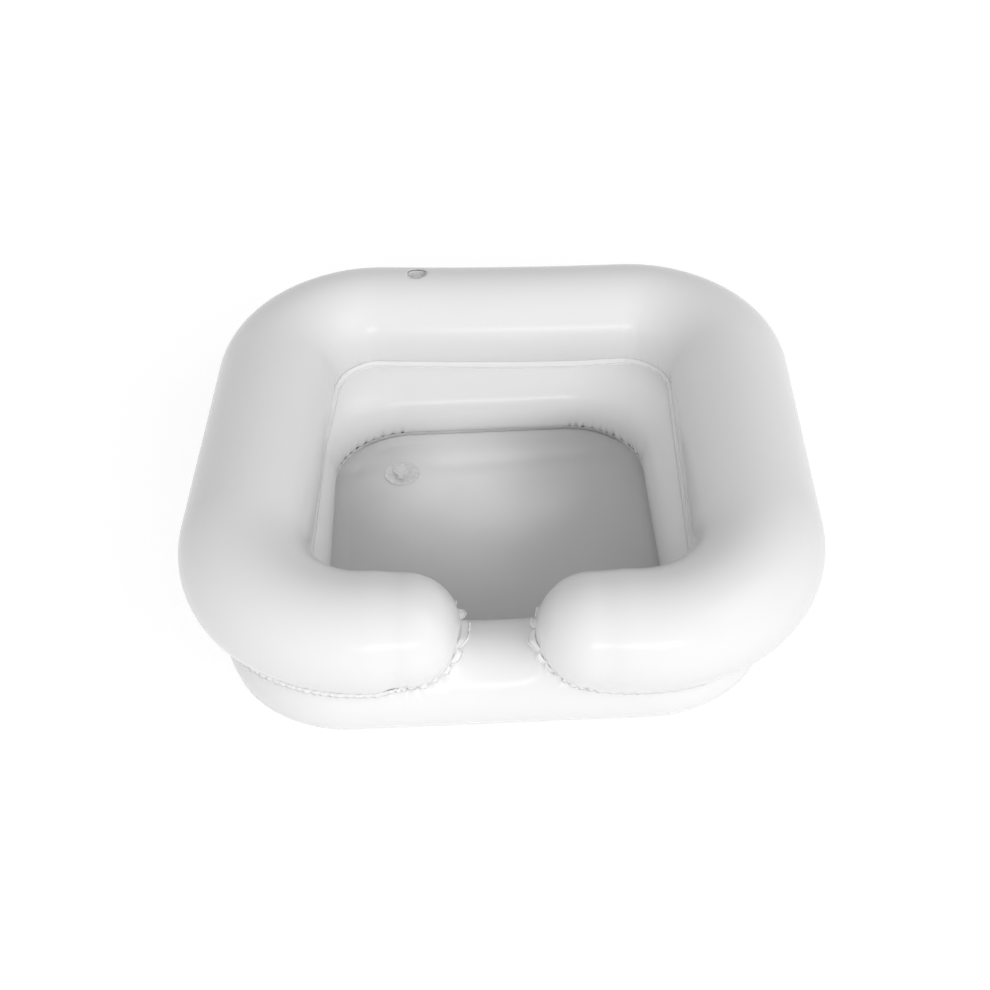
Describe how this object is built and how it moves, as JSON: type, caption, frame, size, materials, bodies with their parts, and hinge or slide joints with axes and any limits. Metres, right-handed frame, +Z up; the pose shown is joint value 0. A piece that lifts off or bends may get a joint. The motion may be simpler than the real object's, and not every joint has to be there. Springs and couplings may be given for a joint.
{
  "type": "portable shampoo basin",
  "caption": "Inflatable hair-washing basin of welded white vinyl: a lower air ring, a C-shaped upper chamber with a neck gap, a floor with a plugged drain and a push-in air valve.",
  "frame": {"origin": "on the ground under the middle of the basin's outer box", "axes": "+X to the right across the basin, +Y from the neck gap to the back, +Z up"},
  "size_m": [0.61, 0.5934, 0.1742],
  "materials": {
    "white_vinyl": "glossy welded vinyl film",
    "base_vinyl": "glossy vinyl film",
    "floor_vinyl": "glossy grey-white vinyl film",
    "clear_vinyl": "clear moulded vinyl",
    "soft_vinyl": "soft clear vinyl"
  },
  "bodies": {
    "basin": {"upper_chamber_film": "white_vinyl", "lower_chamber_film": "white_vinyl", "base_film": "base_vinyl", "floor_film": "floor_vinyl", "valve_flange": "clear_vinyl", "valve_web": "soft_vinyl", "drain_body": "clear_vinyl", "drain_plug_strap": "soft_vinyl"},
    "valve_stem": {"valve_stem": "clear_vinyl", "valve_cap_strap": "soft_vinyl"},
    "valve_cap": {"valve_cap": "clear_vinyl"},
    "valve_flap": {"valve_flap": "soft_vinyl"},
    "drain_plug": {"drain_plug": "clear_vinyl"}
  },
  "joints": [
    {"name": "valve_stem_slide", "type": "slide", "parent": "basin", "child": "valve_stem", "axis": [0.0043, 0.1305, 0.9914], "range_m": [0, 0.0137], "deforming": ["valve_web"]},
    {"name": "valve_cap_hinge", "type": "hinge", "parent": "valve_stem", "child": "valve_cap", "pos_m": [-0.0891, 0.24194, 0.16507], "axis": [0.0327, 0.9909, -0.1305], "range_deg": [0, 100], "deforming": ["valve_cap_strap"]},
    {"name": "valve_flap_hinge", "type": "hinge", "parent": "valve_stem", "child": "valve_flap", "pos_m": [-0.09076, 0.24006, 0.15039], "axis": [-0.0327, -0.9909, 0.1305], "range_deg": [0, 60], "stiffness_Nm_per_rad": 0.0001},
    {"name": "drain_plug_hinge", "type": "hinge", "parent": "basin", "child": "drain_plug", "pos_m": [-0.11003, 0.0785, 0.03179], "axis": [-1, 0, 0], "range_deg": [0, 150], "deforming": ["drain_plug_strap"]}
  ]
}
